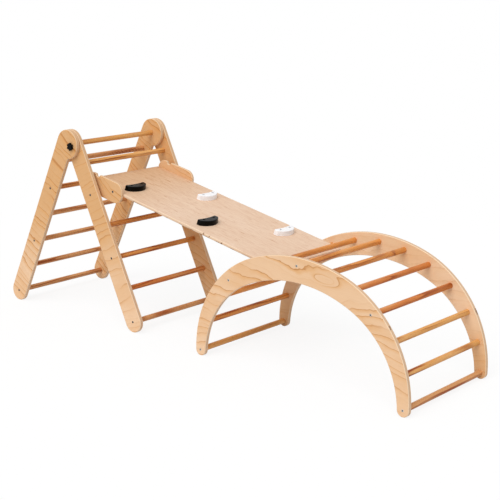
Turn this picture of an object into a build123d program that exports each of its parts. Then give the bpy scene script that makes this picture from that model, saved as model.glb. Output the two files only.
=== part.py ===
import os
from math import asin, atan2, cos, degrees, hypot, pi, radians, sin, sqrt

from build123d import *

# Toddler climbing set: a folding ladder triangle, an arch climber and a ramp with holds
# between them. Millimetres. X runs along the set from the triangle to the arch, Y along
# the rungs from the near side to the far side, Z up. The origin is the middle of the
# footprint on the floor.

# Boards and rungs
board_thickness = 18.0
edge_round = 3.0
rung_diameter = 22.0
socket_depth = 8.0

# Clearances
seat_gap = 0.1
fit_gap = 0.05
rest_gap = 0.3
cut_overrun = 2.0

# Ladder frames of the triangle; the ramp's plates hang between their rails with play
ramp_play = 12.0
ladder_lean = 26.1
leg_width = 88.0
head_diameter = 122.0
throat_round = 8.0
first_rung_drop = 92.0
rung_pitch = 138.0
ladder_rungs = 6
screwed_ladder_rungs = (1, 3, 5)
hook_rung = 5

# Hinge: the top rung runs through both ladders and turns in the rear one
spacer_gap = 1.0
spacer_diameter = 44.0
hinge_bore_depth = 10.0

# Star knobs that clamp the fold: each stud is threaded in an outer rail's head and
# presses on the head of the inner rail beside it
knob_inboard = 27.0
knob_rise = 6.5
knob_diameter = 33.0
knob_lobes = 6
lobe_diameter = 10.0
knob_height = 9.0
knob_edge = 1.5
boss_diameter = 19.0
boss_height = 2.0
stud_diameter = 8.0
stud_in_knob = 7.0
insert_diameter = 12.0
insert_length = 12.0

# Screws in the rung ends and the hook plates
screw_head_diameter = 10.0
screw_head_height = 4.0
screw_shank_diameter = 5.0
screw_grip = 30.0
head_sink = 0.4

# Arch climber, as wide as the triangle. Its outlines and the line of its rungs are
# three-centred arches, whose side arcs end at their join angles
arch_half_span = 489.0
arch_height = 471.0
arch_shin = 32.0
arch_leg_band = 47.0
arch_crown_band = 92.0
arch_rung_inset = 30.0
outer_join_angle = 69.6
inner_join_angle = 63.9
rung_join_angle = 55.0
arch_rungs = 13
screwed_arch_step = 3
rest_rung = 5

# Ramp board and its hook plates
ramp_length = 1032.0
ramp_width = 400.0
ramp_thickness = 12.0
ramp_corner_radius = 10.0
ramp_edge_round = 2.5
ramp_overhang = 77.0
hook_from_end = 60.0
plate_length = 210.0
plate_height = 86.0
plate_thickness = 12.0
plate_corner_radius = 38.0
plate_edge_round = 2.5
notch_lip_round = 3.0
plate_screw_shares = (0.24, 0.75)

# Climbing holds, screwed through the ramp into flanged nuts
hold_length = 107.0
hold_depth = 40.0
hold_bulge = 24.0
hold_hollow = 7.0
hold_height = 20.0
hold_draft = 6.0
hold_corner_radius = 9.0
hold_top_round = 3.5
hold_column_share = 0.2675
hold_place_shares = (0.186, 0.387, 0.588, 0.797)
hold_names = ("upper_black_hold", "upper_white_hold", "lower_black_hold", "lower_white_hold")
hold_screw_spacing = 55.0
hold_screw_setback = 28.0
hold_screw_head_diameter = 10.5
hold_screw_head_height = 4.0
hold_screw_diameter = 6.0
hold_screw_sink = 3.0
nut_barrel_diameter = 8.0
nut_barrel_length = 9.0
nut_flange_diameter = 16.0
nut_flange_thickness = 1.5

os.makedirs("parts", exist_ok=True)
nodes = {}

# Sizes that follow from the ones above
rung_radius = rung_diameter / 2
head_radius = head_diameter / 2
leg_offset = head_radius - leg_width / 2
foot_drop = first_rung_drop + (ladder_rungs - 1) * rung_pitch
lean = radians(ladder_lean)
hinge_height = foot_drop * cos(lean) - leg_offset * sin(lean) + leg_width / 2
frame_shift = board_thickness + spacer_gap
ladder_width = ramp_width + 2 * (plate_thickness + ramp_play + board_thickness) + frame_shift
triangle_width = ladder_width + frame_shift
ladder_outer = ladder_width / 2 + frame_shift / 2
ladder_inner = ladder_outer - ladder_width


def rail_drop(number):
    """Distance of a ladder rung from the hinge along the leg; rung 1 is the lowest."""
    return first_rung_drop + (ladder_rungs - number) * rung_pitch


def front_place(drop, outward=leg_offset):
    """Point (x, z) of the front ladder, seen from the hinge axis at floor level."""
    x = drop * sin(lean) + outward * cos(lean)
    z = hinge_height - drop * cos(lean) + outward * sin(lean)
    return x, z


def crown(half_span, base, join, top):
    """Three-centred arch: side centre and radius, crown centre height and radius."""
    share = (1 - sin(join)) / cos(join)
    side_radius = (top - base - half_span * share) / (1 - share)
    centre_x = half_span - side_radius
    crown_radius = side_radius + centre_x / cos(join)
    crown_centre = base - centre_x * sin(join) / cos(join)
    return centre_x, side_radius, crown_centre, crown_radius


# Arch geometry: the foot circle touches the outer side and the inner curve
arch_inner_height = arch_height - arch_crown_band
outer_join = radians(outer_join_angle)
inner_join = radians(inner_join_angle)
path_join = radians(rung_join_angle)
outer_x, outer_side_radius, outer_low, outer_crown = crown(
    arch_half_span, arch_shin, outer_join, arch_height)
inner_x, inner_side_radius, inner_low, inner_crown = crown(
    arch_half_span - arch_leg_band, 0, inner_join, arch_inner_height)
foot_reach = arch_half_span - inner_x + inner_side_radius
foot_radius = foot_reach - sqrt(
    foot_reach ** 2 - (arch_half_span - inner_x) ** 2 + inner_side_radius ** 2)
foot_x = arch_half_span - foot_radius
foot_turn = atan2(foot_radius, foot_x - inner_x)
path_x, path_side_radius, path_low, path_crown = crown(
    foot_x, foot_radius, path_join, arch_height - arch_rung_inset)
side_run = path_side_radius * path_join
crown_run = path_crown * (pi / 2 - path_join)
arch_pitch = 2 * (side_run + crown_run) / (arch_rungs - 1)


def arch_place(number):
    """Centre (x, z) of an arch rung from the arch's own middle; rung 1 is the lowest left."""
    run = (number - 1) * arch_pitch - side_run - crown_run
    side = -1 if run < 0 else 1
    run = abs(run)
    if run <= crown_run:
        turn = run / path_crown
        return side * path_crown * sin(turn), path_low + path_crown * cos(turn)
    turn = path_join - (run - crown_run) / path_side_radius
    return (side * (path_x + path_side_radius * cos(turn)),
            foot_radius + path_side_radius * sin(turn))


# The ramp hangs on a ladder rung and lies on an arch rung: this sets its slope and
# the arch's place
ramp_reach = ramp_length - hook_from_end - ramp_overhang
hook_x, hook_z = front_place(rail_drop(hook_rung))
rest_x, rest_z = arch_place(rest_rung)
rest_offset = rung_radius + rest_gap + ramp_thickness / 2
rise = rest_offset - plate_height / 2
slope = asin((hook_z - rest_z) / hypot(ramp_reach, rise)) - atan2(rise, ramp_reach)
arch_x = hook_x + ramp_reach * cos(slope) - rise * sin(slope) - rest_x

# Shift of the whole set, so that the origin is the middle of its footprint
set_left = -front_place(foot_drop)[0] - leg_width / 2
set_right = arch_x + arch_half_span
shift_x = -(set_left + set_right) / 2
hinge_at = Pos(shift_x, 0, 0)
arch_at = Pos(shift_x + arch_x, 0, 0)
ramp_at = (Pos(shift_x + hook_x, 0, hook_z) * Rot(0, degrees(slope), 0)
           * Pos(-hook_from_end, 0, plate_height / 2))


def keep(name, shape):
    """Store a node under its own name."""
    shape.label = name
    nodes[name] = shape


def group(shapes):
    return Compound(children=list(shapes))


def along_y(x, z, y_low, y_high, radius):
    """Round bar or cutter parallel to Y."""
    length = y_high - y_low
    return (Pos(x, (y_low + y_high) / 2, z) * Rot(90, 0, 0)
            * Cylinder(radius, length))


def upright_plate(profile, y_low, thickness, rounding):
    """Board cut from an outline in the XZ plane, with both rims rounded."""
    solid = extrude(Plane.XZ.offset(-y_low) * profile, -thickness)
    rims = solid.edges().filter_by(lambda e: e.bounding_box().size.Y < fit_gap)
    return fillet(rims, rounding)


def cap_screw(head_radius_, head_height, shank_radius, length):
    """Cap screw along +Z with its head's top at zero and its shank below."""
    section = Polygon((0, 0), (head_radius_, 0), (head_radius_, -head_height),
                      (shank_radius, -head_height), (shank_radius, -length), (0, -length),
                      align=None)
    return revolve(Plane.XZ * section, Axis.Z)


def rung_screw(x, z, y_face, side):
    """Screw from a board's outer face into a rung; side is -1 for a near face."""
    length = board_thickness - socket_depth - head_sink + screw_grip
    screw = cap_screw(screw_head_diameter / 2, screw_head_height,
                      screw_shank_diameter / 2, length)
    return Pos(x, y_face - side * head_sink, z) * Rot(-90 * side, 0, 0) * screw


def cut_rung_seat(board, x, z, y_outer, side, screwed):
    """Blind socket on the inner face; a screwed rung adds a counterbore and a hole."""
    y_inner = y_outer - side * board_thickness
    y_end = y_inner + side * socket_depth
    low, high = sorted((y_end, y_inner - side * cut_overrun))
    board -= along_y(x, z, low, high, rung_radius + fit_gap)
    if screwed:
        y_seat = y_outer - side * (screw_head_height + head_sink + seat_gap)
        low, high = sorted((y_seat, y_outer + side * cut_overrun))
        board -= along_y(x, z, low, high, screw_head_diameter / 2 + 2 * fit_gap)
        low, high = sorted((y_outer, y_inner))
        board -= along_y(x, z, low, high, screw_shank_diameter / 2 + fit_gap)
    return board


def make_rung(x, z, y_low, y_high, screwed):
    """Dowel between two sockets, drilled at both ends where screws hold it."""
    low = y_low - socket_depth + seat_gap
    high = y_high + socket_depth - seat_gap
    rung = along_y(x, z, low, high, rung_radius)
    if screwed:
        pilot = screw_shank_diameter / 2 + fit_gap
        reach = screw_grip + cut_overrun
        rung -= along_y(x, z, low - cut_overrun, low + reach, pilot)
        rung -= along_y(x, z, high - reach, high + cut_overrun, pilot)
    return rung


# Rail outline in the XZ plane of an upright leg that hangs from the hinge axis
throat_drop = sqrt(head_radius ** 2 - (leg_width / 2 - leg_offset) ** 2)
rail_profile = Circle(head_radius)
rail_profile += Pos(leg_offset, -foot_drop / 2) * Rectangle(leg_width, foot_drop)
rail_profile += Pos(leg_offset, -foot_drop) * Circle(leg_width / 2)
throat = Vector(leg_offset - leg_width / 2, -throat_drop, 0)
rail_profile = fillet(rail_profile.vertices().sort_by_distance(throat)[0], throat_round)


def make_rail(y_low, side, outermost):
    """One rail of the front ladder, leaning, with its sockets and its hinge bore. The
    outermost rail has a blind bore and a threaded insert's hole for the knob's stud."""
    rail = (Pos(0, 0, hinge_height) * Rot(0, -ladder_lean, 0)
            * upright_plate(rail_profile, y_low, board_thickness, edge_round))
    y_outer = y_low if side < 0 else y_low + board_thickness
    y_inner = y_outer - side * board_thickness
    for number in range(1, ladder_rungs + 1):
        x, z = front_place(rail_drop(number))
        rail = cut_rung_seat(rail, x, z, y_outer, side, number in screwed_ladder_rungs)
    bore_end = side * hinge_bore_depth if outermost else side * (board_thickness + cut_overrun)
    low, high = sorted((y_inner - side * cut_overrun, y_inner + bore_end))
    rail -= along_y(0, hinge_height, low, high, rung_radius + fit_gap)
    if outermost:
        low, high = sorted((y_inner - side * cut_overrun, y_outer + side * cut_overrun))
        rail -= along_y(*knob_place, low, high, stud_diameter / 2 + fit_gap)
        low, high = sorted((y_inner - side * cut_overrun,
                            y_inner + side * (insert_length + seat_gap)))
        rail -= along_y(*knob_place, low, high, insert_diameter / 2 + fit_gap)
    return rail


# One ladder frame; the rear one is the same frame turned half round about the upright
# line through the middle of the hinge
knob_place = front_place(-knob_rise, -knob_inboard)
near_rail = make_rail(ladder_inner, -1, False)
far_rail = make_rail(ladder_outer - board_thickness, 1, True)
half_turn = Rot(0, 0, 180)
keep("front_near_rail", hinge_at * near_rail)
keep("front_far_rail", hinge_at * far_rail)
keep("rear_near_rail", hinge_at * half_turn * far_rail)
keep("rear_far_rail", hinge_at * half_turn * near_rail)

ladder_screws = []
for number in range(1, ladder_rungs + 1):
    x, z = front_place(rail_drop(number))
    screwed = number in screwed_ladder_rungs
    rung = make_rung(x, z, ladder_inner + board_thickness, ladder_outer - board_thickness,
                     screwed)
    keep(f"front_rung_{number}", hinge_at * rung)
    keep(f"rear_rung_{number}", hinge_at * half_turn * rung)
    if screwed:
        ladder_screws += [rung_screw(x, z, ladder_inner, -1),
                          rung_screw(x, z, ladder_outer, 1)]
keep("front_screws", group(hinge_at * s for s in ladder_screws))
keep("rear_screws", group(hinge_at * half_turn * s for s in ladder_screws))

# Hinge rung: held between the blind bores of the two outermost rails
far_seat = ladder_outer - board_thickness
hinge_half = far_seat + hinge_bore_depth - seat_gap
keep("hinge_rung", hinge_at * along_y(0, hinge_height, -hinge_half, hinge_half, rung_radius))
spacer = along_y(0, hinge_height, far_seat - spacer_gap + seat_gap, far_seat - seat_gap,
                 spacer_diameter / 2)
spacer -= along_y(0, hinge_height, 0, ladder_outer, rung_radius + fit_gap)
keep("far_spacer", hinge_at * spacer)
keep("near_spacer", hinge_at * half_turn * spacer)

# Star knob with its stud and the insert that the stud is threaded in
knob_outline = Circle((knob_diameter - lobe_diameter) / 2)
lobe_ring = (knob_diameter - lobe_diameter) / 2
knob_outline += PolarLocations(lobe_ring, knob_lobes, start_angle=180 / knob_lobes) * Circle(
    lobe_diameter / 2)
star = Pos(0, 0, boss_height) * extrude(knob_outline, knob_height)
star = chamfer(star.edges().group_by(Axis.Z)[-1], knob_edge)
star += Pos(0, 0, boss_height / 2) * Cylinder(boss_diameter / 2, boss_height)
star -= Cylinder(stud_diameter / 2 + fit_gap, 2 * (stud_in_knob + seat_gap))
knob_x, knob_z = knob_place
knob = Pos(knob_x, ladder_outer + seat_gap, knob_z) * Rot(-90, 0, 0) * star
stud = along_y(knob_x, knob_z, far_seat - spacer_gap + rest_gap,
               ladder_outer + seat_gap + stud_in_knob, stud_diameter / 2)
insert = along_y(knob_x, knob_z, far_seat, far_seat + insert_length, insert_diameter / 2)
insert -= along_y(knob_x, knob_z, far_seat - cut_overrun, ladder_outer,
                  stud_diameter / 2 + fit_gap)
for place, turn in (("far", Rot(0, 0, 0)), ("near", half_turn)):
    keep(f"{place}_knob", hinge_at * turn * knob)
    keep(f"{place}_stud", hinge_at * turn * stud)
    keep(f"{place}_insert", hinge_at * turn * insert)


# Arch panels: outline of a crowned band that narrows to round feet
def on_circle(x, z, radius, turn):
    return x + radius * cos(turn), z + radius * sin(turn)


def half_curve(centre_x, base, side_radius, low, crown_radius, join, start):
    """Side arc and crown arc of one half, from the foot to the crown."""
    first = on_circle(centre_x, base, side_radius, start)
    middle = on_circle(centre_x, base, side_radius, (start + join) / 2)
    knee = on_circle(centre_x, base, side_radius, join)
    upper = on_circle(0, low, crown_radius, (join + pi / 2) / 2)
    top = on_circle(0, low, crown_radius, pi / 2)
    return ThreePointArc(first, middle, knee), ThreePointArc(knee, upper, top)


outer_side, outer_top = half_curve(outer_x, arch_shin, outer_side_radius,
                                   outer_low, outer_crown, outer_join, 0)
inner_side, inner_top = half_curve(inner_x, 0, inner_side_radius,
                                   inner_low, inner_crown, inner_join, foot_turn)
foot_start = (arch_half_span, foot_radius)
foot_end = on_circle(inner_x, 0, inner_side_radius, foot_turn)
foot_arc = ThreePointArc(foot_start, (foot_x, 0), foot_end)
shin = Line(foot_start, (arch_half_span, arch_shin))
half_outline = [shin, outer_side, outer_top, foot_arc, inner_side, inner_top]
whole_outline = half_outline + [mirror(e, Plane.YZ) for e in half_outline]
arch_profile = make_face(whole_outline)


def screwed_on_arch(number):
    return (number - 1) % screwed_arch_step == 0


def make_panel(y_low, side):
    panel = upright_plate(arch_profile, y_low, board_thickness, edge_round)
    y_outer = y_low if side < 0 else y_low + board_thickness
    for number in range(1, arch_rungs + 1):
        x, z = arch_place(number)
        panel = cut_rung_seat(panel, x, z, y_outer, side, screwed_on_arch(number))
    return panel


arch_face = triangle_width / 2
keep("arch_near_panel", arch_at * make_panel(-arch_face, -1))
keep("arch_far_panel", arch_at * make_panel(arch_face - board_thickness, 1))
arch_screws = []
for number in range(1, arch_rungs + 1):
    x, z = arch_place(number)
    screwed = screwed_on_arch(number)
    rung = make_rung(x, z, board_thickness - arch_face, arch_face - board_thickness, screwed)
    keep(f"arch_rung_{number}", arch_at * rung)
    if screwed:
        arch_screws += [rung_screw(x, z, -arch_face, -1), rung_screw(x, z, arch_face, 1)]
keep("arch_screws", group(arch_at * s for s in arch_screws))

# Ramp: its own X runs down the slope from the upper end, its Z is square to the board
board_outline = Pos(ramp_length / 2, 0) * RectangleRounded(
    ramp_length, ramp_width, ramp_corner_radius)
ramp_board = Pos(0, 0, -ramp_thickness / 2) * extrude(board_outline, ramp_thickness)
ramp_rims = ramp_board.edges().filter_by(lambda e: e.bounding_box().size.Z < fit_gap)
ramp_board = fillet(ramp_rims, ramp_edge_round)

# Hook plates: the same outline above and below the board, so the ramp can be turned over
notch_radius = rung_radius + rest_gap
plate_profile = Pos(plate_length / 2, 0) * RectangleRounded(
    plate_length, plate_height, plate_corner_radius)
for side in (-1, 1):
    plate_profile -= Pos(hook_from_end, side * plate_height / 2) * Circle(notch_radius)
lips = [plate_profile.vertices().sort_by_distance(
            Vector(hook_from_end + across * notch_radius, side * plate_height / 2, 0))[0]
        for side in (-1, 1) for across in (-1, 1)]
plate_profile = fillet(lips, notch_lip_round)
plate_screws = []
plate_screw_length = plate_thickness - head_sink + screw_grip
for side, place in ((-1, "near"), (1, "far")):
    y_inner = side * (ramp_width / 2 + seat_gap)
    y_low = y_inner if side > 0 else y_inner - plate_thickness
    plate = upright_plate(plate_profile, y_low, plate_thickness, plate_edge_round)
    y_outer = y_inner + side * plate_thickness
    for share in plate_screw_shares:
        spot = share * plate_length
        y_seat = y_outer - side * (screw_head_height + head_sink + seat_gap)
        low, high = sorted((y_seat, y_outer + side * cut_overrun))
        plate -= along_y(spot, 0, low, high, screw_head_diameter / 2 + 2 * fit_gap)
        shank = screw_shank_diameter / 2 + fit_gap
        low, high = sorted((y_inner - side * cut_overrun, y_outer))
        plate -= along_y(spot, 0, low, high, shank)
        tip = y_outer - side * (plate_screw_length + cut_overrun)
        low, high = sorted((tip, y_inner + side * cut_overrun))
        ramp_board -= along_y(spot, 0, low, high, shank)
        screw = cap_screw(screw_head_diameter / 2, screw_head_height,
                          screw_shank_diameter / 2, plate_screw_length)
        plate_screws.append(ramp_at * Pos(spot, y_outer - side * head_sink, 0)
                            * Rot(-90 * side, 0, 0) * screw)
    keep(f"{place}_hook_plate", ramp_at * plate)
keep("hook_plate_screws", group(plate_screws))

# Crescent holds: the hollow side faces the top of the ramp, where fingers reach over
half_length = hold_length / 2
end_low = hold_depth / 2 - hold_bulge
end_high = -hold_depth / 2 - hold_hollow
moon = make_face([
    ThreePointArc((end_low, -half_length), (hold_depth / 2, 0), (end_low, half_length)),
    Line((end_low, half_length), (end_high, half_length)),
    ThreePointArc((end_high, half_length), (-hold_depth / 2, 0), (end_high, -half_length)),
    Line((end_high, -half_length), (end_low, -half_length))])
moon = fillet(moon.vertices(), hold_corner_radius)
hold_solid = Rot(180, 0, 0) * extrude(moon, -hold_height, taper=hold_draft)
hold_solid = fillet(hold_solid.edges().group_by(Axis.Z)[-1], hold_top_round)
head_seat = hold_height - hold_screw_sink - hold_screw_head_height
screw_spots = [(hold_depth / 2 - hold_screw_setback, side * hold_screw_spacing / 2)
               for side in (-1, 1)]
for spot in screw_spots:
    hold_solid -= Pos(*spot, hold_height / 2) * Cylinder(
        hold_screw_diameter / 2 + fit_gap, hold_height + cut_overrun)
    hold_solid -= Pos(*spot, hold_height) * Cylinder(
        hold_screw_head_diameter / 2 + 2 * fit_gap, 2 * (hold_height - head_seat + seat_gap))

flange_seat = nut_flange_thickness + seat_gap
barrel_hole = Cylinder(nut_barrel_diameter / 2 + fit_gap, ramp_thickness + cut_overrun)
flange_hole = Pos(0, 0, -ramp_thickness / 2) * Cylinder(
    nut_flange_diameter / 2 + fit_gap, 2 * flange_seat)
nut_solid = Pos(0, 0, nut_flange_thickness / 2 + seat_gap / 2) * Cylinder(
    nut_flange_diameter / 2, nut_flange_thickness)
nut_solid += Pos(0, 0, nut_flange_thickness + nut_barrel_length / 2) * Cylinder(
    nut_barrel_diameter / 2, nut_barrel_length)
nut_solid -= Cylinder(hold_screw_diameter / 2 + fit_gap,
                      2 * (nut_flange_thickness + nut_barrel_length + cut_overrun))
bolt_length = (hold_height - hold_screw_sink + seat_gap + ramp_thickness
               - nut_flange_thickness / 2)
hold_screws = []
hold_nuts = []
for index, name in enumerate(hold_names):
    side = -1 if index % 2 == 0 else 1
    x = ramp_length * hold_place_shares[index]
    y = side * ramp_width * hold_column_share
    spot = ramp_at * Pos(x, y, ramp_thickness / 2 + seat_gap)
    keep(name, spot * hold_solid)
    for dx, dy in screw_spots:
        ramp_board -= Pos(x + dx, y + dy, 0) * barrel_hole
        ramp_board -= Pos(x + dx, y + dy, 0) * flange_hole
        bolt = cap_screw(hold_screw_head_diameter / 2, hold_screw_head_height,
                         hold_screw_diameter / 2, bolt_length)
        hold_screws.append(spot * Pos(dx, dy, hold_height - hold_screw_sink) * bolt)
        hold_nuts.append(ramp_at * Pos(x + dx, y + dy, -ramp_thickness / 2) * nut_solid)
keep("ramp_board", ramp_at * ramp_board)
keep("hold_screws", group(hold_screws))
keep("hold_nuts", group(hold_nuts))

for name, shape in nodes.items():
    export_step(shape, f"parts/{name}.step")

print("slope", round(degrees(slope), 2), "hinge height", round(hinge_height, 1))
print("hinge x", round(shift_x, 1), "arch x", round(shift_x + arch_x, 1))
print("length", round(set_right - set_left, 1), "nodes", len(nodes))
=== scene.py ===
from collections import namedtuple
from math import copysign, cos, radians, sin

import bpy
from mathutils import Matrix, Vector


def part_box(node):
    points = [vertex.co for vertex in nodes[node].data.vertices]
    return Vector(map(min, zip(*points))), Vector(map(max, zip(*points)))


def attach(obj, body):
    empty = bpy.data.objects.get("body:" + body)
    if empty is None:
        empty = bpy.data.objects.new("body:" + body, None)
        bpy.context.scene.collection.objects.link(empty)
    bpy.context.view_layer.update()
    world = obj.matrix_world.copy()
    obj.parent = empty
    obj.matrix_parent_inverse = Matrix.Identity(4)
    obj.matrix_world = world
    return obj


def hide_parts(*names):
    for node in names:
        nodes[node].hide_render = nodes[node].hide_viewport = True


bl_info = {
    "name": "Toddler climbing set",
    "version": (1, 0, 0),
    "blender": (4, 5, 0),
    "location": "View3D > Sidebar > Climbing set",
    "description": "Wood, plastic and steel finishes of a toddler climbing set",
    "category": "Object",
}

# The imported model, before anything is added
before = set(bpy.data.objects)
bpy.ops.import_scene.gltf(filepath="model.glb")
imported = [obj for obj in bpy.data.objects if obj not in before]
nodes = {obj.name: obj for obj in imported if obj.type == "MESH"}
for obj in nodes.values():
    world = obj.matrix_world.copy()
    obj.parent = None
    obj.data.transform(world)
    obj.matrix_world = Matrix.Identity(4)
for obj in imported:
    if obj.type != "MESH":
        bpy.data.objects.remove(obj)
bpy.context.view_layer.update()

WHITE = (1.0, 1.0, 1.0, 1.0)
Y_AXIS = (0.0, 1.0, 0.0)
Z_AXIS = (0.0, 0.0, 1.0)


# Properties

def shade(red, green, blue):
    """Linear colour of a shade given as it looks on a screen, 0 to 255."""
    def linear(level):
        share = level / 255
        return share / 12.92 if share <= 0.04045 else ((share + 0.055) / 1.055) ** 2.4
    return tuple(linear(level) for level in (red, green, blue))


def colour_property(name, description, default):
    return bpy.props.FloatVectorProperty(
        name=name, description=description, default=default, size=3,
        subtype="COLOR", min=0.0, max=1.0)


def share_property(name, description, default):
    return bpy.props.FloatProperty(
        name=name, description=description, default=default,
        min=0.0, max=1.0, subtype="FACTOR")


def length_property(name, description, default, least):
    return bpy.props.FloatProperty(
        name=name, description=description, default=default, min=least, unit="LENGTH")


class VeneerLook(bpy.types.PropertyGroup):
    """Colours and pattern of the plywood boards"""
    face: colour_property(
        "Face", "Pale early wood of the face veneer", shade(238, 202, 166))
    # Golden tone of the upper ladders; low on the far rails and the arch's far panel it is
    # painted shade under the ramp
    golden: colour_property(
        "Golden tone", "Tone of the riper parts of the boards", shade(217, 167, 112))
    patch: colour_property(
        "Patch", "Warm patches in the face veneer", shade(222, 166, 104))
    line: colour_property(
        "Growth line", "Late wood that draws the growth lines", shade(182, 116, 54))
    # Painted shade on the ladder faces that look at the rungs
    inner: colour_property(
        "Inner tint", "Tint of the ladder faces that look at the rungs", shade(252, 246, 234))
    rim: colour_property(
        "Rim", "Pale outer plies on the rounded edges", shade(250, 226, 196))
    core: colour_property(
        "Core", "Browner inner plies in the middle of the edges", shade(216, 178, 142))
    glue: colour_property(
        "Glue line", "Thin lines between the plies", shade(176, 130, 92))
    # Gaps in the inner plies, painted dark as the shade inside them
    void: colour_property("Void", "Gaps in the inner plies", shade(120, 76, 44))
    ring_gap: length_property(
        "Growth line spacing", "Usual distance between two growth lines", 0.028, 0.002)
    ply: length_property("Ply", "Thickness of one ply", 0.0018, 0.0005)
    roughness: share_property("Roughness", "Roughness of the oiled veneer", 0.5)


class RungLook(bpy.types.PropertyGroup):
    """Colours and pattern of the round rungs"""
    honey: colour_property("Honey", "Tone of the yellowest rungs", shade(229, 168, 96))
    amber: colour_property("Amber", "Tone of the usual rungs", shade(228, 152, 78))
    russet: colour_property("Russet", "Tone of the reddest rungs", shade(216, 130, 64))
    tan: colour_property("Tan", "Tone of the palest rungs", shade(221, 163, 108))
    streak: colour_property("Streak", "Late wood that streaks the rungs", shade(156, 74, 24))
    pale: colour_property("Sapwood", "Pale patches in the rungs", shade(240, 190, 130))
    knot: colour_property("Knot", "Dark red heart of a knot", shade(138, 58, 30))
    ring_gap: length_property(
        "Streak spacing", "Usual distance between two streaks", 0.012, 0.001)
    roughness: share_property("Roughness", "Roughness of the oiled rungs", 0.42)


class RampLook(bpy.types.PropertyGroup):
    """Colours of the ramp board"""
    face: colour_property("Face", "Pale pinkish veneer", shade(237, 209, 184))
    blush: colour_property("Blush", "Browner clouds in the veneer", shade(232, 201, 174))
    fleck: colour_property(
        "Fleck", "Short pinkish flecks along the grain", shade(204, 156, 122))
    # Painted shade over the ramp's upper end, where the ladders and hook plates stand over it
    upper_end_shade: colour_property("Upper end", "Tint of the riper upper end", shade(235, 218, 193))
    roughness: share_property("Roughness", "Roughness of the sanded board", 0.55)


class PlasticLook(bpy.types.PropertyGroup):
    """Colours of the moulded parts"""
    black: colour_property("Black", "Black climbing holds and knobs", shade(7, 6, 5))
    white: colour_property("White", "White climbing holds", shade(250, 249, 251))
    nylon: colour_property("Nylon", "Washers between the rails", shade(222, 218, 208))
    roughness: share_property("Roughness", "Roughness of the moulded parts", 0.3)


class SteelLook(bpy.types.PropertyGroup):
    """Colours of the fixings and size of the screws"""
    zinc: colour_property(
        "Zinc", "Zinc plate of the arch's screws and the fixings", shade(214, 212, 208))
    # Dull plate of the heads in the ladders and hook plates, and painted shade in the sockets
    # of the arch's screws
    dull: colour_property(
        "Dull", "Oiled plate of the screws in the ladders and hook plates",
        shade(128, 126, 124))
    # Painted shade on the heads of the screws sunk in the holds' counterbores
    blued: colour_property("Blued", "Blued screws in the holds", shade(26, 26, 28))
    # Painted shade inside a screw's socket
    grime: colour_property("Socket", "Oily dark inside of a screw's socket", shade(34, 32, 31))
    roughness: share_property("Roughness", "Roughness of the plate", 0.34)
    head: length_property("Head", "Diameter of a screw's head", 0.010, 0.004)
    head_height: length_property("Head height", "Height of a screw's head", 0.004, 0.001)
    shank: length_property("Shank", "Diameter of a screw's shank", 0.005, 0.002)
    socket: length_property(
        "Socket width", "Width of the six-sided socket over its corners", 0.006, 0.002)
    socket_depth: length_property(
        "Socket depth", "Depth of the six-sided socket", 0.0026, 0.001)


class StageLook(bpy.types.PropertyGroup):
    """Colour of the floor and strength of the light"""
    floor: colour_property("Floor", "Pale floor", (1.0, 1.0, 1.0))
    sky: bpy.props.FloatProperty(
        name="Sky", description="Level of the even light from all round",
        default=0.57, min=0.0)
    lamp: bpy.props.FloatProperty(
        name="Lamp", description="Strength of the soft lamp above and in front",
        default=1.8, min=0.0)


# Shader arithmetic

# Sockets of a Mix node that mixes colours
MIX_SHARE, MIX_FIRST, MIX_SECOND, MIX_RESULT = 0, 6, 7, 2


class Socket:
    """An output of a shader node; arithmetic on it adds Math nodes."""

    def __init__(self, graph, link):
        self.graph = graph
        self.link = link

    def math(self, operation, *values):
        return self.graph.add("ShaderNodeMath", {"operation": operation}, values)

    def __add__(self, other):
        return self.math("ADD", self, other)

    def __radd__(self, other):
        return self.math("ADD", other, self)

    def __sub__(self, other):
        return self.math("SUBTRACT", self, other)

    def __rsub__(self, other):
        return self.math("SUBTRACT", other, self)

    def __mul__(self, other):
        return self.math("MULTIPLY", self, other)

    def __rmul__(self, other):
        return self.math("MULTIPLY", other, self)

    def __truediv__(self, other):
        return self.math("DIVIDE", self, other)

    def __rtruediv__(self, other):
        return self.math("DIVIDE", other, self)

    def __pow__(self, other):
        return self.math("POWER", self, other)

    def __abs__(self):
        return self.math("ABSOLUTE", self)

    def fraction(self):
        return self.math("FRACT", self)

    def floor(self):
        return self.math("FLOOR", self)

    def greater(self, other):
        return self.math("MAXIMUM", self, other)

    def step(self, low, high):
        """Zero below low, one above high and smooth between them."""
        return self.graph.add(
            "ShaderNodeMapRange", {"interpolation_type": "SMOOTHSTEP"},
            {"Value": self, "From Min": low, "From Max": high})


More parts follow.
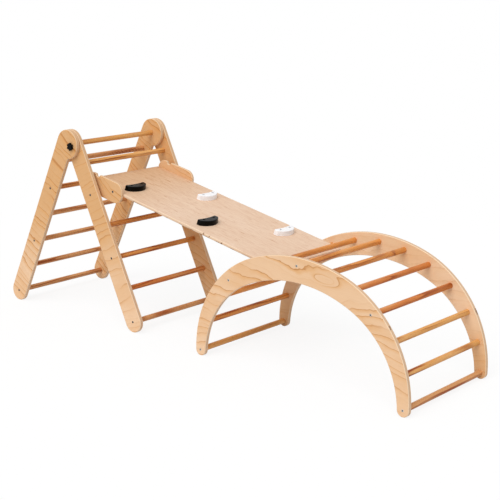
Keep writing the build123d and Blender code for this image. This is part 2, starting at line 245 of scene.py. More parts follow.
class Graph:
    """A node tree, built node by node."""

    def __init__(self, tree):
        self.tree = tree

    def add(self, kind, settings, values=(), output=0):
        """Add a node, set it up, fill its sockets and return one of its outputs."""
        node = self.tree.nodes.new(kind)
        for key, value in settings.items():
            setattr(node, key, value)
        self.fill(node, values)
        return Socket(self, node.outputs[output])

    def fill(self, node, values):
        """Fill a node's sockets, in their order or by name, with values or links."""
        pairs = values.items() if isinstance(values, dict) else enumerate(values)
        for key, value in pairs:
            if isinstance(value, Socket):
                self.tree.links.new(value.link, node.inputs[key])
            else:
                node.inputs[key].default_value = value

    def vector_math(self, operation, values, output="Vector"):
        """Sum on whole vectors, whose output is Value where it is one number."""
        return self.add("ShaderNodeVectorMath", {"operation": operation}, values, output)

    def place(self):
        """Position on the object, in metres."""
        return self.add("ShaderNodeTexCoord", {}, output="Object")

    def scaled(self, place, scale):
        return self.vector_math("SCALE", {"Vector": place, "Scale": scale})

    def along(self, place, direction):
        """Distance of a place along a direction."""
        return self.vector_math("DOT_PRODUCT", [place, direction], output="Value")

    def noise(self, place, detail=2.0, roughness=0.5):
        """Noise about 0 to 1 at a place, which is one vector or its three parts."""
        if isinstance(place, tuple):
            place = self.add("ShaderNodeCombineXYZ", {}, place)
        return self.add("ShaderNodeTexNoise", {}, {
            "Vector": place, "Scale": 1.0, "Detail": detail, "Roughness": roughness})

    def mix(self, share, first, second, blend="MIX"):
        """Colour between two colours, or one blended on the other."""
        def whole(colour):
            return colour if isinstance(colour, Socket) else (*colour, 1.0)
        values = {MIX_SHARE: share, MIX_FIRST: whole(first), MIX_SECOND: whole(second)}
        return self.add("ShaderNodeMix", {"data_type": "RGBA", "blend_type": blend},
                        values, MIX_RESULT)

    def glaze(self, colour, *coats):
        """Colour with coats laid over it in turn, each by its share."""
        for share, coat in coats:
            colour = self.mix(share, colour, coat)
        return colour

    def bump(self, height, distance):
        return self.add("ShaderNodeBump", {}, {
            "Strength": 1.0, "Distance": distance, "Height": height})

    def seen(self):
        """One for rays from the lens, direct or by way of a shiny or clear surface."""
        camera, glossy, clear = (
            self.add("ShaderNodeLightPath", {}, output=ray)
            for ray in ("Is Camera Ray", "Is Glossy Ray", "Is Transmission Ray"))
        return camera.greater(glossy).greater(clear)


class Shader(Graph):
    """A material with one Principled surface."""

    def __init__(self, name):
        self.material = bpy.data.materials.new(name)
        self.material.use_nodes = True
        super().__init__(self.material.node_tree)
        self.surface = self.tree.nodes["Principled BSDF"]

    def finish(self, **values):
        """Fill sockets of the surface; a name's underscores stand for spaces."""
        for key, value in values.items():
            self.fill(self.surface, {key.replace("_", " "): value})
        return self.material


def dress(name, material):
    """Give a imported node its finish."""
    mesh = nodes[name].data
    mesh.materials.clear()
    mesh.materials.append(material)


# Wood

# Specular level of oiled wood, and depth of its pores in metres
WOOD_SHINE = 0.25
WOOD_RELIEF = 0.0001

# How fast a pattern changes through a board, so that its two faces differ
BOARD_LAYER = 40
RAMP_LAYER = 60

# Fine fibres of the boards' veneer: length and breadth in metres
FIBRE = (0.03, 0.0011)

# Rounded edge of a board, in metres under its face: where the face veneer ends and the rim
# is plain, and where the inner plies begin and are full
FACE_END, RIM_START = 0.0003, 0.0014
CORE_START, CORE_FULL = 0.002, 0.0045

# Speckle of the rim, in cycles per metre
SPECKLE = (90.0, 700.0, 90.0)

# Void in an inner ply, painted dark as the shade inside it: share of its reach that is
# darkest, and how dark it is
VOID_HEART, VOID_DARKNESS = 0.4, 0.8

# Wave in a pattern: cycles per metre along and across the grain, offset that sets it apart
# from the other waves, and detail
Wave = namedtuple("Wave", "along across offset detail")
BOARD_SWEEP = Wave(1.6, 4.2, 0, 1.0)
BOARD_RIPPLE = Wave(7, 8, 5, 1.0)
BOARD_WOBBLE = Wave(18, 26, 7, 3.0)
BOARD_CLOUD = Wave(3, 9, 3, 2.0)
BOARD_PATCH = Wave(6, 14, 31, 1.0)
RUNG_SWEEP = Wave(2.2, 8, 0, 1.0)
RUNG_WOBBLE = Wave(22, 60, 5, 2.0)
RUNG_CLOUD = Wave(6, 30, 2, 1.0)
RUNG_BURL = Wave(30, 60, 0, 1.0)
RUNG_FIBRE = Wave(25, 1100, 0, 2.0)
RUNG_PORES = Wave(60, 700, 0, 2.0)
RAMP_CLOUD = Wave(3, 8, 0, 3.0)
RAMP_DRIFT = Wave(9, 9, 4, 1.0)

# Waves that set one growth line apart from the next: their second number is per line
BOARD_STRENGTH = Wave(4, 2.7, 13, 1.0)
RUNG_STRENGTH = Wave(5, 3.1, 9, 1.0)

# Uneven distances between growth lines: how fast they change from line to line, and by how
# many lines
BOARD_UNEVEN = (0.45, 2.6)
RUNG_UNEVEN = (0.5, 2.4)

# Part of a ring, from 0 to 1, over which its soft band and crisp line ripen and over which
# they end
BOARD_BAND, BOARD_LINE, BOARD_END = (0.25, 0.95), (0.8, 0.93), (0.96, 1.0)
RUNG_BAND, RUNG_LINE, RUNG_END = (0.1, 0.85), (0.6, 0.85), (0.92, 1.0)

# Strengths between which a growth line turns from faint to bold
BOARD_BOLD, RUNG_BOLD = (0.38, 0.6), (0.36, 0.62)

# Swings of a board's growth lines, as shares of their spacing: ripple and wobble
RIPPLE_SWING, WOBBLE_SWING = 1.4, 0.8

# Swings of a rung's growth lines in metres: sweep, wobble and burl of a knot
RUNG_SWEEP_SWING, RUNG_WOBBLE_SWING, BURL_SWING = 0.028, 0.002, 0.02


def wave(shader, grain, width, depth, kind):
    """Noise about 0 to 1 that is stretched along the grain."""
    return shader.noise(
        (grain * kind.along, width * kind.across, depth + kind.offset), kind.detail)


def fibres(shader, grain, width, depth, length, breadth):
    """Fine fibres stretched along the grain, about 0 to 1."""
    return shader.noise((grain / length, width / breadth, depth), detail=3.0, roughness=0.6)


def turned_axes(shader, place, turn):
    """Distances of a place along the X and Z axes, turned in their plane by degrees."""
    angle = radians(turn)
    return (shader.along(place, (cos(angle), 0.0, sin(angle))),
            shader.along(place, (-sin(angle), 0.0, cos(angle))))


def uneven(shader, level, apart, rate, spread):
    """Levels of growth lines that stand at uneven distances."""
    change = shader.noise((level * rate, *apart), detail=1.0)
    return level + (change - 0.5) * spread


def growth_lines(shader, grain, width, depth, seed, gap, swirl, whorl=None):
    """Late wood of a board, as soft bands and the crisp line that ends each. They wander,
    stand at uneven distances and differ in strength, and close into loops at a whorl."""
    sweep, ripple, wobble = (
        wave(shader, grain, width, depth + seed, kind) - 0.5
        for kind in (BOARD_SWEEP, BOARD_RIPPLE, BOARD_WOBBLE))
    level = (width + sweep * swirl + ripple * (gap * RIPPLE_SWING)
             + wobble * (gap * WOBBLE_SWING)) / gap
    if whorl is not None:
        reached = ((((grain - whorl.grain) / whorl.reach) ** 2
                    + ((width - whorl.width) / whorl.height) ** 2) ** 0.5)
        level = level + (1 - (reached + wobble * 0.5).step(0.0, 1.0)) * whorl.loops
    level = uneven(shader, level, (depth, seed + 17), *BOARD_UNEVEN)
    ring = level.fraction()
    strength = wave(shader, grain, level.floor(), depth + seed, BOARD_STRENGTH)
    drawn = (1 - ring.step(*BOARD_END)) * (strength.step(*BOARD_BOLD) * 0.92 + 0.08)
    return ring.step(*BOARD_BAND) * drawn, ring.step(*BOARD_LINE) * drawn


def ply_rim(shader, look, place, depth, thickness):
    """Colour of a board's rounded edge, with its plies and glue lines."""
    ply = depth / look.ply + 0.5
    inside = (thickness / 2 - abs(depth)).step(CORE_START, CORE_FULL)
    glue = abs(ply.fraction() - 0.5).step(0.3, 0.5)
    speckle = shader.noise(shader.vector_math("MULTIPLY", [place, SPECKLE]))
    return shader.glaze(look.rim,
                        (speckle.step(0.35, 0.85) * 0.35, look.face),
                        (inside * 0.85, look.core),
                        (glue * 0.35, look.glue))


def with_voids(shader, look, colour, place, voids):
    """Small gaps where an inner ply ends short of a board's edge, painted dark as the shade
    inside them.
    """
    for void, reach in voids:
        away = shader.vector_math("DISTANCE", [place, void], output="Value")
        dark = (1 - away.step(reach * VOID_HEART, reach)) * VOID_DARKNESS
        colour = shader.mix(dark, colour, look.void)
    return colour


def face_mask(depth, thickness):
    """One on a board's two faces and zero on its rounded edge."""
    return abs(depth).step(thickness / 2 - RIM_START, thickness / 2 - FACE_END)


def veneer(name, look, box, board, whorl=None, voids=()):
    """Plywood board that stands in the XZ plane."""
    low, high = box
    thickness = high.y - low.y
    shader = Shader(name)
    place = shader.place()
    grain, width = turned_axes(shader, place, board.turn)
    depth = shader.along(place, Y_AXIS) - (low.y + high.y) / 2
    layer = depth * BOARD_LAYER
    bands, lines = growth_lines(
        shader, grain, width, layer, board.seed, look.ring_gap, board.swirl, whorl)
    fine = fibres(shader, grain, width, layer, *FIBRE)
    cloud = wave(shader, grain, width, layer + board.seed, BOARD_CLOUD)
    patch = wave(shader, grain, width, layer + board.seed, BOARD_PATCH)
    rise = shader.along(place, Z_AXIS).step(board.ripe.start, board.ripe.full)
    # Share of the golden tone, which low on the far boards is painted shade
    tone_and_shade = rise * board.ripe.share
    vivid = (rise * 0.45 + 0.55) * board.drawn
    colour = shader.glaze(look.face,
                          (cloud.step(0.4, 0.7) * 0.35, look.patch),
                          (tone_and_shade, look.golden),
                          (patch.step(0.66, 0.8) * 0.5, look.patch),
                          (bands * vivid * 0.8, look.patch),
                          (lines * vivid * 0.7, look.line),
                          (fine.step(0.45, 0.8) * 0.16, look.line))
    # Painted shade on the face that looks at the rungs
    if board.inner_side:
        inner = (depth * (board.inner_side / thickness)).step(0.3, 0.45)
        colour = shader.mix(inner, colour, look.inner, blend="MULTIPLY")
    rim = ply_rim(shader, look, place, depth, thickness)
    rim = shader.mix(tone_and_shade * 0.4, rim, look.golden)
    colour = shader.mix(face_mask(depth, thickness), rim, colour)
    return shader.finish(
        Base_Color=with_voids(shader, look, colour, place, voids),
        Roughness=look.roughness + (fine - 0.5) * 0.15 - lines * 0.06,
        Normal=shader.bump(fine * 0.5 - lines * 0.5, WOOD_RELIEF),
        Specular_IOR_Level=WOOD_SHINE)


def dowel(name, look, box, rung, knot=None):
    """Round rung along Y. Its growth lines run its length and open in long tongues."""
    low, high = box
    shader = Shader(name)
    place = shader.vector_math("SUBTRACT", [shader.place(), tuple((low + high) / 2)])
    width, side = turned_axes(shader, place, rung.turn)
    run = shader.along(place, Y_AXIS)
    sweep = wave(shader, run, side, rung.seed, RUNG_SWEEP)
    wobble = wave(shader, run, side, rung.seed, RUNG_WOBBLE)
    level = (width + (sweep - 0.5) * RUNG_SWEEP_SWING
             + (wobble - 0.5) * RUNG_WOBBLE_SWING)
    if knot is not None:
        swell = 1 - abs(run - knot.run).step(knot.reach * 0.3, knot.reach)
        burl = wave(shader, run, side, width * RUNG_BURL.across, RUNG_BURL)
        level = level + swell * (burl - 0.5) * BURL_SWING
    level = uneven(shader, level / look.ring_gap, (rung.seed, 0.0), *RUNG_UNEVEN)
    ring = level.fraction()
    strength = wave(shader, run, level.floor(), rung.seed, RUNG_STRENGTH)
    ripening = ring.step(*RUNG_BAND) * 0.5 + ring.step(*RUNG_LINE) * 0.5
    lines = (ripening * (1 - ring.step(*RUNG_END))
             * (strength.step(*RUNG_BOLD) * 0.95 + 0.1))
    fine = wave(shader, run, side, width * RUNG_FIBRE.across, RUNG_FIBRE)
    pores = wave(shader, run, side, width * RUNG_PORES.across + rung.seed, RUNG_PORES)
    cloud = wave(shader, run, side, rung.seed, RUNG_CLOUD)
    colour = shader.glaze(tuple(getattr(look, rung.tone)),
                          (cloud.step(0.5, 0.25) * 0.35, look.pale),
                          (cloud.step(0.5, 0.75) * 0.3, look.streak),
                          (lines * (0.9 * rung.drawn), look.streak),
                          (fine.step(0.45, 0.8) * 0.2, look.streak),
                          (pores.step(0.55, 0.72) * 0.35, look.streak))
    if knot is not None:
        # Dark curls that cross the knot on a slant
        curl = abs((run * 52 + side * 90 + burl * 0.8).fraction() - 0.5)
        curl = curl.step(0.05, 0.45) * 0.45 + 0.26
        colour = shader.mix(swell * curl, colour, look.knot)
    return shader.finish(
        Base_Color=colour,
        Roughness=look.roughness + (fine - 0.5) * 0.16,
        Normal=shader.bump(fine * 0.6 - lines * 0.4, WOOD_RELIEF),
        Specular_IOR_Level=WOOD_SHINE * 0.7)


# Where a board turns golden: share of the golden tone, and heights in metres where it starts
# and is full. Where it grows downwards, and low on the far rails, it is painted shade under
# the ramp
Ripe = namedtuple("Ripe", "share start full")
UPWARD = Ripe(0.9, 0.1, 0.5)
# Golden tone that grows downwards: painted shade low on the arch's far panel, under the ramp
DOWNWARD = Ripe(0.7, 0.28, 0.04)

# Each board: its grain's turn from level in degrees, seed, swirl of its growth lines in
# metres, their strength, where it turns golden, and side of its inner face that carries
# painted shade
Board = namedtuple("Board", "turn seed swirl drawn ripe inner_side")
BOARDS = {
    "rear_near_rail": Board(-33, 1.3, 0.12, 1.25, UPWARD, 1),
    "front_near_rail": Board(22, 4.2, 0.2, 0.9, UPWARD, 1),
    # The far rails' golden tone reaches low, to paint the shade under the ramp
    "rear_far_rail": Board(-28, 8.1, 0.12, 1.3, Ripe(0.75, -0.1, 0.45), -1),
    "front_far_rail": Board(-20, 11.7, 0.14, 0.8, Ripe(0.75, -0.25, 0.45), -1),
    "arch_near_panel": Board(-5, 15.9, 0.2, 1.0, Ripe(0.2, 0.12, 0.42), 0),
    "arch_far_panel": Board(3, 21.4, 0.2, 0.45, DOWNWARD, 0),
    "near_hook_plate": Board(-36, 71.3, 0.03, 1.0, Ripe(0.75, 0.1, 0.5), 0),
    "far_hook_plate": Board(-24, 77.3, 0.05, 0.65, Ripe(0.5, 0.1, 0.5), 0),
}

# Whorl in a board's growth lines: place along and across the grain, reach along and
# across it in metres, and number of loops
Whorl = namedtuple("Whorl", "grain width reach height loops")
WHORLS = {
    "arch_near_panel": Whorl(0.66, 0.472, 0.085, 0.03, 1.5),
    "front_near_rail": Whorl(-0.46, 0.31, 0.09, 0.03, 2.0),
}

# Gaps in the inner plies, painted dark as the shade inside them: place and reach in metres
VOIDS = {
    "arch_near_panel": (((0.9635, -0.252, 0.3005), 0.006), ((0.9675, -0.253, 0.294), 0.005)),
    "arch_far_panel": (((0.996, 0.2545, 0.258), 0.006), ((0.9988, 0.2545, 0.249), 0.008),
                       ((1.0022, 0.2555, 0.2405), 0.006)),
    "ramp_board": (((0.063, -0.2, 0.466), 0.0055), ((0.093, -0.2, 0.4598), 0.004),
                   ((0.1565, -0.2, 0.443), 0.0055)),
}

# Each rung: tone, turn of its growth lines in degrees, seed and strength of its lines
Rung = namedtuple("Rung", "tone turn seed drawn")
RUNGS = {
    "hinge_rung": Rung("honey", 80, 2.1, 0.5),
    "front_rung_1": Rung("tan", 35, 3.7, 0.9),
    "front_rung_2": Rung("russet", 70, 5.2, 1.0),
    "front_rung_3": Rung("amber", 15, 6.9, 1.15),
    "front_rung_4": Rung("amber", 95, 8.8, 1.15),
    "front_rung_5": Rung("amber", 50, 10.3, 1.0),
    "front_rung_6": Rung("honey", 60, 12.6, 1.3),
    "rear_rung_1": Rung("tan", 85, 14.1, 1.15),
    "rear_rung_2": Rung("tan", 20, 16.4, 1.0),
    "rear_rung_3": Rung("tan", 65, 18.2, 1.0),
    "rear_rung_4": Rung("tan", 40, 20.5, 0.9),
    "rear_rung_5": Rung("amber", 100, 22.7, 1.0),
    "rear_rung_6": Rung("tan", 55, 24.9, 0.8),
    "arch_rung_1": Rung("honey", 30, 27.3, 0.9),
    "arch_rung_2": Rung("amber", 75, 29.1, 1.0),
    "arch_rung_3": Rung("amber", 10, 31.6, 1.0),
    "arch_rung_4": Rung("amber", 55, 33.2, 0.7),
    "arch_rung_5": Rung("amber", 90, 35.8, 1.0),
    "arch_rung_6": Rung("amber", 45, 37.4, 1.0),
    "arch_rung_7": Rung("amber", 110, 39.9, 0.8),
    "arch_rung_8": Rung("amber", 65, 41.3, 0.8),
    "arch_rung_9": Rung("russet", 25, 43.6, 1.0),
    "arch_rung_10": Rung("russet", 50, 45.2, 1.0),
    "arch_rung_11": Rung("honey", 85, 47.7, 0.8),
    "arch_rung_12": Rung("honey", 15, 49.5, 1.2),
    "arch_rung_13": Rung("tan", 70, 51.8, 1.0),
}

# Rungs with knots: place along the rung from its middle and reach, in metres
Knot = namedtuple("Knot", "run reach")
KNOTS = {"rear_rung_6": Knot(0.12, 0.12), "arch_rung_8": Knot(0.162, 0.016)}


class CLIMB_OT_boards(bpy.types.Operator):
    """Give the ladder rails, arch panels and hook plates their plywood veneer"""
    bl_idname = "climb.boards"
    bl_label = "Boards"

    def execute(self, context):
        look = context.scene.climb_veneer
        for name, board in BOARDS.items():
            dress(name, veneer(name + "_veneer", look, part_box(name), board,
                               WHORLS.get(name), VOIDS.get(name, ())))
        return {"FINISHED"}


class CLIMB_OT_rungs(bpy.types.Operator):
    """Give every rung its own streaked hardwood"""
    bl_idname = "climb.rungs"
    bl_label = "Rungs"

    def execute(self, context):
        look = context.scene.climb_rung
        for name, rung in RUNGS.items():
            dress(name, dowel(name + "_wood", look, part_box(name), rung, KNOTS.get(name)))
        return {"FINISHED"}


# Ramp

RAMP_THICKNESS = 0.012

# Growth lines of the ramp board: seed, spacing and swirl in metres
RAMP_LINES = (61.0, 0.03, 0.14)

# Upper end, with painted shade and more flecks: distances down the slope from the board's
# middle where it starts and is full, in metres
RAMP_UPPER_END = (0.0, -0.6)

# Flecks and flakes of the ramp's veneer: length and breadth in metres
FINE_FLECK = (0.038, 0.0024)
LONG_FLECK = (0.06, 0.005)
FLAKE = (0.05, 0.0085)


def ramp_axes():
    """Middle of the ramp board, its direction down the slope and its upward normal."""
    low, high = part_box("ramp_board")
    upper = [face for face in nodes["ramp_board"].data.polygons if face.normal.z > 0.5]
    widest = max(upper, key=lambda face: face.area)
    normal = Vector((widest.normal.x, 0, widest.normal.z)).normalized()
    return (low + high) / 2, Vector((normal.z, 0, -normal.x)), normal


def ramp_veneer(look, wood):
    """Pale sanded board with pinkish flecks, with more flecks and painted shade towards its
    upper end.
    """
    middle, down, normal = ramp_axes()
    shader = Shader("ramp_board_veneer")
    here = shader.place()
    place = shader.vector_math("SUBTRACT", [here, tuple(middle)])
    grain = shader.along(place, tuple(down))
    width = shader.along(place, Y_AXIS)
    depth = shader.along(place, tuple(normal))
    layer = depth * RAMP_LAYER
    bands, lines = growth_lines(shader, grain, width, layer, *RAMP_LINES)
    tone_and_shade = grain.step(*RAMP_UPPER_END)
    fine = fibres(shader, grain, width, layer, *FINE_FLECK)
    dash = fibres(shader, grain, width, layer + 5, *LONG_FLECK)
    cloud = wave(shader, grain, width, layer, RAMP_CLOUD)
    drift = wave(shader, grain, width, 0, RAMP_DRIFT)
    flake = fibres(shader, grain, width + drift * 0.03, layer + 9, *FLAKE)
    colour = shader.glaze(look.face,
                          (cloud.step(0.35, 0.7) * 0.6, look.blush),
                          ((bands + lines) * 0.09, look.fleck),
                          (fine.step(0.4, 0.75) * 0.5, look.fleck),
                          (dash.step(0.56, 0.75) * (tone_and_shade * 0.35 + 0.6), look.fleck),
                          (flake.step(0.62, 0.72) * 0.55, wood.line))
    # Painted shade over the upper end, where the ladders and hook plates stand over it
    colour = shader.mix(tone_and_shade, colour, look.upper_end_shade, blend="MULTIPLY")

    # Edge, with its lowest ply darker all along and darkest in dashes
    dark_dashes = shader.noise((grain * 16, 0.0, 3.0)).step(0.48, 0.56)
    low_ply = (depth * -1).step(0.0022, 0.0036)
    rim = shader.glaze(ply_rim(shader, wood, place, depth, RAMP_THICKNESS),
                       (0.4, look.face),
                       (low_ply * (dark_dashes * 0.65 + 0.3), wood.void))
    colour = shader.mix(face_mask(depth, RAMP_THICKNESS), rim, colour)
    return shader.finish(
        Base_Color=with_voids(shader, wood, colour, here, VOIDS["ramp_board"]),
        Roughness=look.roughness + (fine - 0.5) * 0.12,
        Normal=shader.bump(fine, WOOD_RELIEF),
        Specular_IOR_Level=WOOD_SHINE * 0.4)


class CLIMB_OT_ramp(bpy.types.Operator):
    """Give the ramp board its pale veneer"""
    bl_idname = "climb.ramp"
    bl_label = "Ramp"

    def execute(self, context):
        dress("ramp_board", ramp_veneer(context.scene.climb_ramp, context.scene.climb_veneer))
        return {"FINISHED"}


# Plastic and steel

# Cycles per metre of the haze and pores in plastic and of the mottling of plate, and depth
# of the pores in metres
HAZE_SCALE = 60.0
PORE_SCALE = 1500.0
MOTTLE_SCALE = 700.0
PORE_DEPTH = 0.00004

# Each plastic: colour, share of the usual roughness, specular level and the nodes that are
# made of it
Plastic = namedtuple("Plastic", "tone roughness shine nodes")
PLASTICS = {
    "black_plastic": Plastic("black", 0.6, 0.07, (
        "upper_black_hold", "lower_black_hold", "near_knob", "far_knob")),
    "white_plastic": Plastic("white", 1.0, 0.5, ("upper_white_hold", "lower_white_hold")),
    "nylon": Plastic("nylon", 1.0, 0.5, ("near_spacer", "far_spacer")),
}

# Nodes that are zinc plated
PLATED = ("hold_nuts", "near_stud", "far_stud", "near_insert", "far_insert")


def moulded(name, colour, roughness, shine):
    """Moulded plastic with fine pores, hazy in places."""
    shader = Shader(name)
    place = shader.place()
    haze = shader.noise(shader.scaled(place, HAZE_SCALE))
    pores = shader.noise(shader.scaled(place, PORE_SCALE), detail=1.0)
    hazy = tuple(level * 0.9 + 0.001 for level in colour)
    return shader.finish(
        Base_Color=shader.mix(haze.step(0.3, 0.8), colour, hazy),
        Roughness=roughness + (haze - 0.5) * 0.2,
        Normal=shader.bump(pores, PORE_DEPTH),
        Specular_IOR_Level=shine)


def plated(name, look, colour):
    """Metal plate, slightly mottled."""
    shader = Shader(name)
    mottle = shader.noise(shader.scaled(shader.place(), MOTTLE_SCALE))
    dark = tuple(level * 0.6 for level in colour)
    return shader.finish(
        Base_Color=shader.mix(mottle.step(0.3, 0.7) * 0.4, colour, dark),
        Metallic=1.0,
        Roughness=look.roughness + (mottle - 0.5) * 0.2)


class CLIMB_OT_holds(bpy.types.Operator):
    """Give the climbing holds, knobs and washers their moulded plastic"""
    bl_idname = "climb.holds"
    bl_label = "Holds and knobs"

    def execute(self, context):
        look = context.scene.climb_plastic
        for name, plastic in PLASTICS.items():
            material = moulded(name, tuple(getattr(look, plastic.tone)),
                               look.roughness * plastic.roughness, plastic.shine)
            for node in plastic.nodes:
                dress(node, material)
        return {"FINISHED"}


class CLIMB_OT_fixings(bpy.types.Operator):
    """Give the studs, inserts and nuts their zinc plate"""
    bl_idname = "climb.fixings"
    bl_label = "Fixings"

    def execute(self, context):
        look = context.scene.climb_steel
        material = plated("zinc_plate", look, tuple(look.zinc))
        for node in PLATED:
            dress(node, material)
        return {"FINISHED"}


# Screws

# Each set of cap screws: the body that it rides on, the colour of its heads, which on the
# holds' screws is painted shade in their counterbores, and the painted shade in its sockets
ScrewSet = namedtuple("ScrewSet", "body head_tone socket_tone")
SCREW_SETS = {
    "front_screws": ScrewSet("front_ladder", "dull", "grime"),
    "rear_screws": ScrewSet("rear_ladder", "dull", "grime"),
    # The arch's sockets are painted darker than its heads, as their shade
    "arch_screws": ScrewSet("arch", "zinc", "dull"),
    "hook_plate_screws": ScrewSet("ramp", "dull", "grime"),
    # The holds' screws: heads and sockets both carry painted shade
    "hold_screws": ScrewSet("ramp", "blued", "grime"),
}
SCREW_TONES = ("zinc", "dull", "blued", "grime")

# No corner of a screw is further from another of its corners than this, in metres, and no
# two screws are nearer
SCREW_REACH = 0.043

# Corners round the head, shank and socket, and bevels of the first two: share of the head's
# height or the shank's diameter, and number of segments
HEAD_CORNERS, SHANK_CORNERS, SOCKET_CORNERS = 48, 24, 6
HEAD_BEVEL, SHANK_BEVEL = (0.2, 4), (0.15, 2)
SMOOTH_ANGLE = radians(35)

# Furthest that an edge may lie from a level and still count as on it, in metres
SAME_LEVEL = 1e-5

# Faces inside a socket, which take the painted shade: share of its width from the axis that
# they stay within, and least depth in metres and greatest share of its depth at which they lie
SOCKET_WITHIN, SOCKET_LEAST, SOCKET_DEEPEST = 0.48, 1e-4, 1.05


def solids(mesh, reach):
    """Corners of a mesh's separate solids, when no solid is longer than reach."""
    groups = []
    for vertex in mesh.vertices:
        for group in groups:
            if (vertex.co - group[0]).length < reach:
                group.append(vertex.co)
                break
        else:
            groups.append([vertex.co])
    return groups


def plain_screws(name, upward):
    """Top of the head and outward direction of each plain screw in a node, and the length
    of the screws."""
    spots = []
    for corners in solids(nodes[name].data, SCREW_REACH):
        middle = sum(corners, Vector()) / len(corners)
        out = upward if name == "hold_screws" else Vector((0, copysign(1, middle.y), 0))
        depths = [corner.dot(out) for corner in corners]
        low = Vector(map(min, zip(*corners)))
        high = Vector(map(max, zip(*corners)))
        centre = (low + high) / 2
        spots.append((centre + out * (max(depths) - centre.dot(out)), out))
    return spots, max(depths) - min(depths)


def select_only(*pieces):
    """Select some objects and nothing else, the first of them active."""
    bpy.ops.object.select_all(action="DESELECT")
    for piece in pieces:
        piece.select_set(True)
    bpy.context.view_layer.objects.active = pieces[0]


def cylinder(corners, width, height, top):
    """Upright cylinder on the Z axis, down from a level."""
    bpy.ops.object.select_all(action="DESELECT")
    bpy.ops.mesh.primitive_cylinder_add(
        vertices=corners, radius=width / 2, depth=height, location=(0, 0, top - height / 2))
    bpy.ops.object.transform_apply(location=True)
    return bpy.context.object


def bevel_edges(piece, level, size, bevel):
    """Bevel the edges of a piece that lie at one level, by a share of a size."""
    share, segments = bevel
    select_only(piece)
    bpy.ops.object.mode_set(mode="EDIT")
    bpy.ops.mesh.select_mode(type="EDGE")
    bpy.ops.mesh.select_all(action="DESELECT")
    bpy.ops.object.mode_set(mode="OBJECT")
    for edge in piece.data.edges:
        ends = [piece.data.vertices[index].co.z for index in edge.vertices]
        edge.select = all(abs(end - level) < SAME_LEVEL for end in ends)
    bpy.ops.object.mode_set(mode="EDIT")
    bpy.ops.mesh.bevel(offset=size * share, segments=segments, affect="EDGES")
    bpy.ops.object.mode_set(mode="OBJECT")


def cap_screw(look, length):
    """Socket head screw with its head's top at the origin and its shank down -Z."""
    head = cylinder(HEAD_CORNERS, look.head, look.head_height, 0.0)
    bevel_edges(head, 0.0, look.head_height, HEAD_BEVEL)

    cutter = cylinder(SOCKET_CORNERS, look.socket, look.socket_depth * 2, look.socket_depth)
    cut = head.modifiers.new("socket", "BOOLEAN")
    cut.operation = "DIFFERENCE"
    cut.solver = "EXACT"
    cut.object = cutter
    bpy.context.view_layer.objects.active = head
    bpy.ops.object.modifier_apply(modifier=cut.name)
    bpy.data.objects.remove(cutter)

    shank = cylinder(SHANK_CORNERS, look.shank, length - look.head_height, -look.head_height)
    bevel_edges(shank, -length, look.shank, SHANK_BEVEL)
    select_only(head, shank)
    bpy.ops.object.join()
    bpy.ops.object.shade_smooth_by_angle(angle=SMOOTH_ANGLE)
    return head


def copied_screws(name, screw, spots):
    """One piece of copies of a screw, each with its head's top at its spot."""
    copies = []
    for place, out in spots:
        copy = bpy.data.objects.new(name + "_copy", screw.data.copy())
        copy.data.transform(Matrix.Translation(place)
                            @ out.to_track_quat("Z", "Y").to_matrix().to_4x4())
        bpy.context.collection.objects.link(copy)
        copies.append(copy)
    select_only(*copies)
    bpy.ops.object.join()
    copies[0].name = name.replace("screws", "socket_screws")
    return copies[0]


def colour_sockets(piece, look, spots):
    """Give the faces inside the sockets of a piece's screws its second material, the painted
    shade of the sockets.
    """
    for face in piece.data.polygons:
        top, out = min(spots, key=lambda spot: (spot[0] - face.center).length)
        away = face.center - top
        depth = -away.dot(out)
        within = (away + out * depth).length < look.socket * SOCKET_WITHIN
        inside = SOCKET_LEAST < depth < look.socket_depth * SOCKET_DEEPEST
        face.material_index = int(within and inside)


class CLIMB_OT_screws(bpy.types.Operator):
    """Put socket head screws where the plain ones are"""
    bl_idname = "climb.screws"
    bl_label = "Screws"

    def execute(self, context):
        look = context.scene.climb_steel
        plates = {tone: plated(tone + "_screw_plate", look, tuple(getattr(look, tone)))
                  for tone in SCREW_TONES}
        upward = ramp_axes()[2]
        for name, screws in SCREW_SETS.items():
            spots, length = plain_screws(name, upward)
            screw = cap_screw(look, length)
            piece = copied_screws(name, screw, spots)
            bpy.data.objects.remove(screw)
            piece.data.materials.clear()
            # Plate of the heads; on the holds' screws it is painted shade in their
            # counterbores
            piece.data.materials.append(plates[screws.head_tone])
            # Second material: painted shade inside the sockets
            piece.data.materials.append(plates[screws.socket_tone])
            colour_sockets(piece, look, spots)
            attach(piece, screws.body)
            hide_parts(name)
        return {"FINISHED"}


# Stage

# Floor: its size in metres, distances from the set's middle where it starts to turn white
# and is plain white, share of white that it has near the set where the camera sees it, and
# the grey and roughness that light the set from below
FLOOR_SIZE = 120.0
FLOOR_FADE = (1.2, 2.6)
FLOOR_WHITE = 0.86
FLOOR_BOUNCE = (0.75, 0.75, 0.75)
FLOOR_ROUGHNESS = 0.9

# Soft lamp in front on the left and above: direction towards it and its width
LAMP_SIDE = (0.12, -0.62, 0.78)
LAMP_ANGLE = radians(50)

# Camera at the photograph's place and angle: its place in metres, its direction and roll,
# the picture's side, the focal length and the picture's middle in pixels, the width of the
# sensor in millimetres, and the nearest and furthest that it sees in metres
CAMERA_PLACE = (3.0137, -3.3311, 1.4743)
CAMERA_FORWARD = (-0.64035, 0.725265, -0.252867)
CAMERA_ROLL = radians(0.4379)
PICTURE = 500
FOCAL, MIDDLE_X, MIDDLE_Y = 1154.07, 239.75, 263.22
SENSOR = 36.0
NEAREST, FURTHEST = 0.1, 200.0


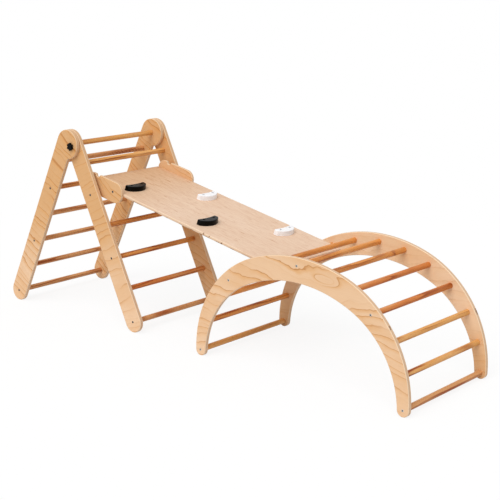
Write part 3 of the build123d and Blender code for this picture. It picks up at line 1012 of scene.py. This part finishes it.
def light_room(scene, look):
    """Even light from all round, and white where the camera sees past the floor."""
    world = bpy.data.worlds.new("pale_room")
    world.use_nodes = True
    scene.world = world
    graph = Graph(world.node_tree)
    sky = graph.tree.nodes["Background"]
    graph.fill(sky, {"Color": WHITE, "Strength": look.sky})
    white = graph.add("ShaderNodeBackground", {}, {"Color": WHITE})
    light = graph.add("ShaderNodeMixShader", {},
                      [graph.seen(), Socket(graph, sky.outputs[0]), white])
    graph.fill(graph.tree.nodes["World Output"], {"Surface": light})


def lay_floor(look):
    """Floor that keeps a faint shadow near the set and fades to the white of the room."""
    bpy.ops.object.select_all(action="DESELECT")
    bpy.ops.mesh.primitive_plane_add(size=FLOOR_SIZE, location=(0, 0, 0))
    floor = bpy.context.object
    floor.name = "floor"
    shader = Shader("floor_paint")
    away = shader.vector_math("LENGTH", [shader.place()], output="Value")
    seen = shader.seen()
    shader.finish(Base_Color=shader.mix(seen, FLOOR_BOUNCE, look.floor),
                  Roughness=FLOOR_ROUGHNESS)
    paint = Socket(shader, shader.surface.outputs[0])
    glow = shader.add("ShaderNodeEmission", {}, {"Color": WHITE, "Strength": 1.0})
    surface = shader.add("ShaderNodeMixShader", {},
                         [away.step(*FLOOR_FADE).greater(FLOOR_WHITE) * seen, paint, glow])
    shader.fill(shader.tree.nodes["Material Output"], {"Surface": surface})
    floor.data.materials.append(shader.material)


def hang_lamp(look):
    """Soft lamp from the front left and above."""
    bpy.ops.object.light_add(type="SUN")
    lamp = bpy.context.object
    lamp.name = "soft_lamp"
    lamp.data.energy = look.lamp
    lamp.data.angle = LAMP_ANGLE
    lamp.rotation_mode = "QUATERNION"
    lamp.rotation_quaternion = Vector(LAMP_SIDE).to_track_quat("Z", "Y")


def set_camera(scene):
    """Camera at the photograph's place and angle."""
    forward = Vector(CAMERA_FORWARD).normalized()
    right = forward.cross(Vector(Z_AXIS)).normalized()
    up = right.cross(forward)
    across = right * cos(CAMERA_ROLL) + up * sin(CAMERA_ROLL)
    above = up * cos(CAMERA_ROLL) - right * sin(CAMERA_ROLL)
    bpy.ops.object.camera_add()
    camera = bpy.context.object
    camera.name = "camera"
    turn = Matrix((across, above, -forward)).transposed()
    camera.matrix_world = Matrix.Translation(CAMERA_PLACE) @ turn.to_4x4()
    camera.data.sensor_width = SENSOR
    camera.data.lens = FOCAL * SENSOR / PICTURE
    camera.data.shift_x = 0.5 - MIDDLE_X / PICTURE
    camera.data.shift_y = MIDDLE_Y / PICTURE - 0.5
    camera.data.clip_start = NEAREST
    camera.data.clip_end = FURTHEST
    scene.camera = camera


class CLIMB_OT_stage(bpy.types.Operator):
    """Set up the pale floor, the soft light and the camera"""
    bl_idname = "climb.stage"
    bl_label = "Stage"

    def execute(self, context):
        scene, look = context.scene, context.scene.climb_stage
        scene.view_settings.view_transform = "Standard"
        light_room(scene, look)
        lay_floor(look)
        hang_lamp(look)
        set_camera(scene)
        return {"FINISHED"}


class CLIMB_PT_panel(bpy.types.Panel):
    """Finishes of the climbing set"""
    bl_idname = "CLIMB_PT_panel"
    bl_label = "Climbing set"
    bl_space_type = "VIEW_3D"
    bl_region_type = "UI"
    bl_category = "Climbing set"

    def draw(self, context):
        for operator in OPERATORS:
            self.layout.operator(operator.bl_idname)
        for key in LOOKS:
            group = getattr(context.scene, key)
            for field in group.__annotations__:
                self.layout.prop(group, field)


LOOKS = {
    "climb_veneer": VeneerLook,
    "climb_rung": RungLook,
    "climb_ramp": RampLook,
    "climb_plastic": PlasticLook,
    "climb_steel": SteelLook,
    "climb_stage": StageLook,
}
OPERATORS = (CLIMB_OT_boards, CLIMB_OT_rungs, CLIMB_OT_ramp, CLIMB_OT_holds,
             CLIMB_OT_fixings, CLIMB_OT_screws, CLIMB_OT_stage)


def register():
    for key, group in LOOKS.items():
        bpy.utils.register_class(group)
        setattr(bpy.types.Scene, key, bpy.props.PointerProperty(type=group))
    for operator in OPERATORS:
        bpy.utils.register_class(operator)
    bpy.utils.register_class(CLIMB_PT_panel)


def unregister():
    bpy.utils.unregister_class(CLIMB_PT_panel)
    for operator in reversed(OPERATORS):
        bpy.utils.unregister_class(operator)
    for key, group in LOOKS.items():
        delattr(bpy.types.Scene, key)
        bpy.utils.unregister_class(group)


def main():
    register()
    bpy.ops.climb.boards()
    bpy.ops.climb.rungs()
    bpy.ops.climb.ramp()
    bpy.ops.climb.holds()
    bpy.ops.climb.fixings()
    bpy.ops.climb.screws()
    bpy.ops.climb.stage()


if __name__ == "__main__":
    main()
